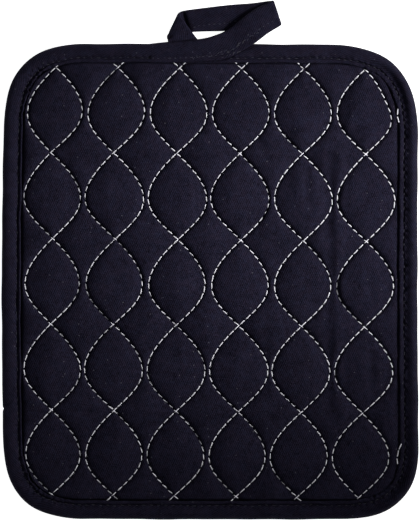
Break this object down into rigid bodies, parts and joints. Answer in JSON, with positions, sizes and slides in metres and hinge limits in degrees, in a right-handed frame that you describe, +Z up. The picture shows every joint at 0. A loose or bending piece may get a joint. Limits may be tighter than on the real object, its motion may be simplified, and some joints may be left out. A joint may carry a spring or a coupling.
{
  "type": "quilted table trivet",
  "caption": "Soft quilted cloth trivet, a padded mat with sewn wave channels, a bound edge and a folded hanging loop.",
  "frame": {"origin": "centre of the bounding box at the surface that the trivet lies on", "axes": "+Z up out of the quilted face, +Y toward the hanging loop, +X to the right of the quilted face"},
  "size_m": [0.2017, 0.2508, 0.0083],
  "materials": {
    "pad_cloth": "blue-black cotton twill, quilted with white thread",
    "binding_cloth": "blue-black cotton twill tape, sewn with thread of its own colour",
    "white_thread": "matt white cotton quilting thread, left to the dressed model",
    "dark_thread": "blue-black sewing thread of the binding, left to the dressed model"
  },
  "bodies": {
    "root": {"quilted_pad": "pad_cloth", "edge_binding": "binding_cloth", "hanging_loop": "binding_cloth"}
  },
  "joints": []
}
